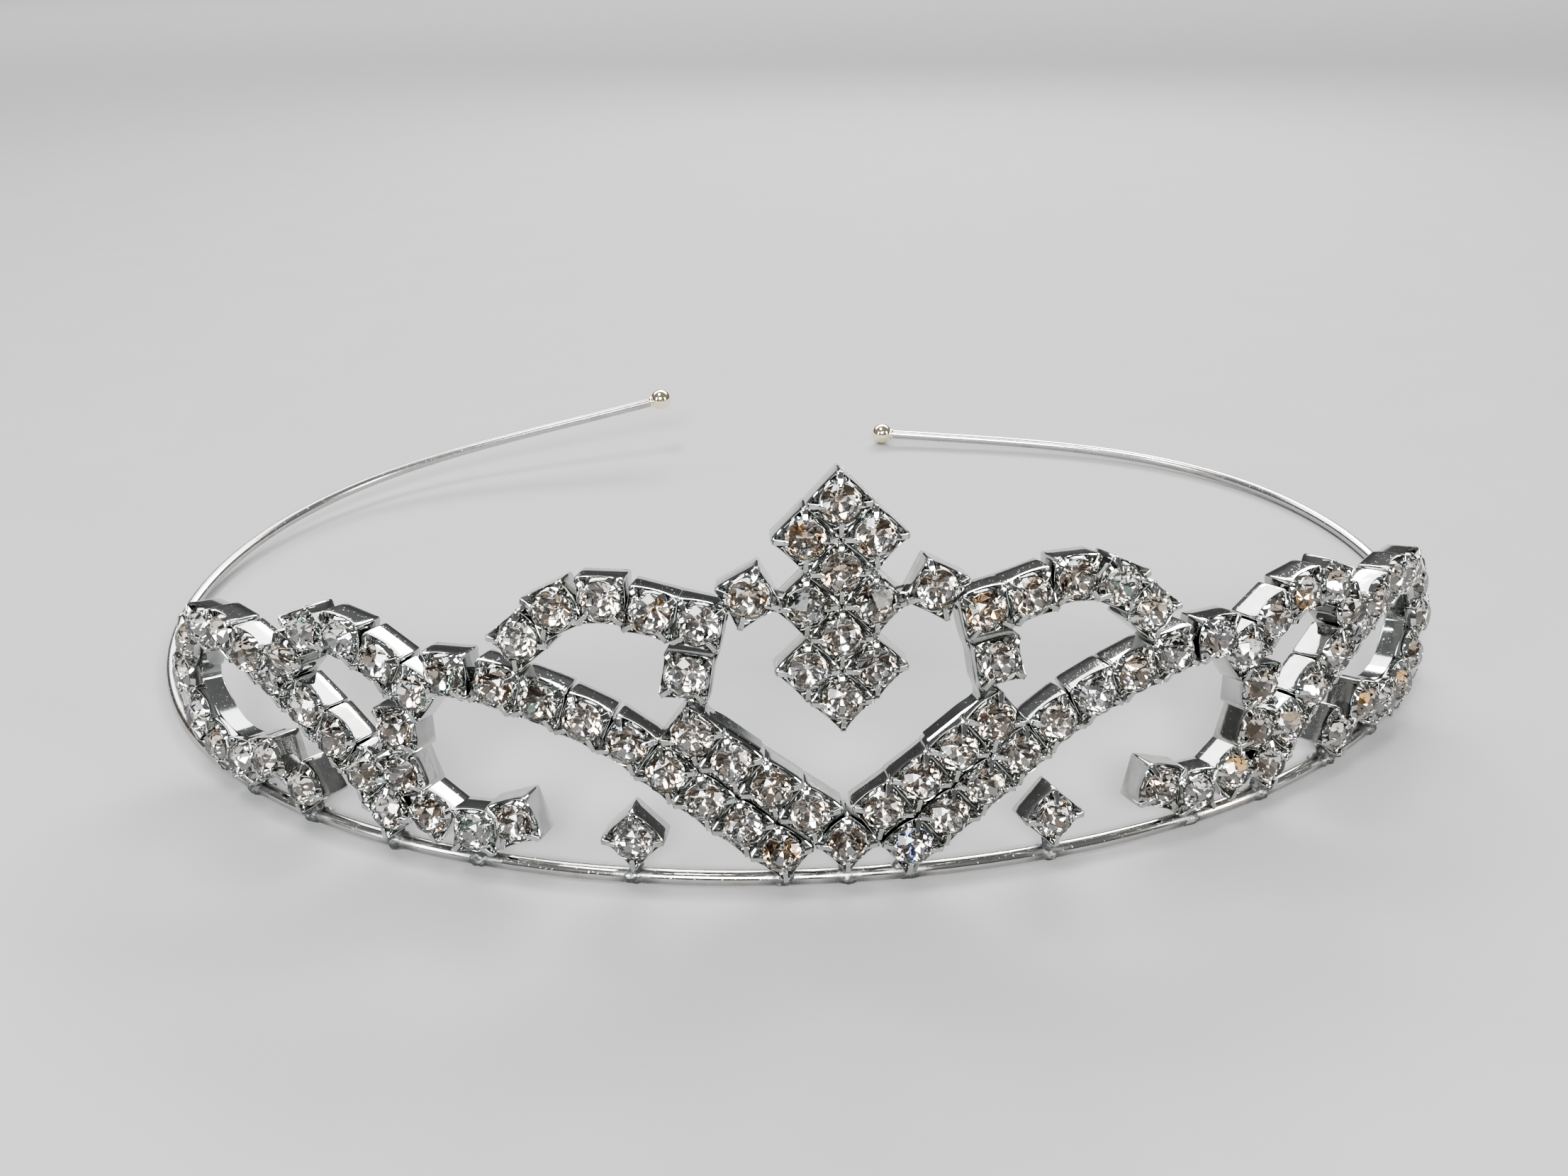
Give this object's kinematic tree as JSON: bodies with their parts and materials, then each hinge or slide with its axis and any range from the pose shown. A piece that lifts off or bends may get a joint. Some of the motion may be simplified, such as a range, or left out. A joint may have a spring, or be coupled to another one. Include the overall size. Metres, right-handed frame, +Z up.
{
  "type": "bridal tiara",
  "caption": "Sprung wire headband with an upright front of square claw-set crystal cups in scrolls, a heart and a centre diamond ornament.",
  "frame": {"origin": "on the flat underside of the headband wire, at the middle of the front", "axes": "+X to the tiara's right as seen from the front, +Y back along the arms, +Z up towards the ornament's tip; the front faces -Y"},
  "size_m": [0.1522, 0.1076, 0.0366],
  "materials": {
    "cup_plate": "polished silver plate",
    "wire_plate": "polished silver plate, pitted near the solder",
    "tip_plate": "polished pale plate",
    "crystal": "foil-backed cut glass"
  },
  "bodies": {
    "root": {"ball_tip_left": "tip_plate", "ball_tip_right": "tip_plate", "centre_setting": "cup_plate", "centre_stone": "crystal", "connector_left": "cup_plate", "connector_right": "cup_plate", "connector_stone_left": "crystal", "connector_stone_right": "crystal", "diagonal_left": "cup_plate", "diagonal_right": "cup_plate", "foot_curl_left": "cup_plate", "foot_curl_right": "cup_plate", "headband_wire": "wire_plate", "heart_lobe_left": "cup_plate", "heart_lobe_right": "cup_plate", "heart_lobe_stone_left": "crystal", "heart_lobe_stone_right": "crystal", "heart_row_left": "cup_plate", "heart_row_right": "cup_plate", "heart_row_stone_left_1": "crystal", "heart_row_stone_left_2": "crystal", "heart_row_stone_left_3": "crystal", "heart_row_stone_left_4": "crystal", "heart_row_stone_right_1": "crystal", "heart_row_stone_right_2": "crystal", "heart_row_stone_right_3": "crystal", "heart_row_stone_right_4": "crystal", "heart_side_left": "cup_plate", "heart_side_right": "cup_plate", "heart_side_stone_left": "crystal", "heart_side_stone_right": "crystal", "inner_spacer_left": "cup_plate", "inner_spacer_right": "cup_plate", "inner_spacer_stone_left": "crystal", "inner_spacer_stone_right": "crystal", "ornament_setting": "cup_plate", "ornament_stone_1": "crystal", "ornament_stone_10": "crystal", "ornament_stone_2": "crystal", "ornament_stone_3": "crystal", "ornament_stone_4": "crystal", "ornament_stone_5": "crystal", "ornament_stone_6": "crystal", "ornament_stone_7": "crystal", "ornament_stone_8": "crystal", "ornament_stone_9": "crystal", "outer_spacer_left": "cup_plate", "outer_spacer_right": "cup_plate", "outer_spacer_stone_left": "crystal", "outer_spacer_stone_right": "crystal", "peak_arch_left": "cup_plate", "peak_arch_right": "cup_plate", "side_loop_left": "cup_plate", "side_loop_right": "cup_plate", "wing_arch_left": "cup_plate", "wing_arch_right": "cup_plate", "wing_row_left": "cup_plate", "wing_row_right": "cup_plate"}
  },
  "joints": []
}
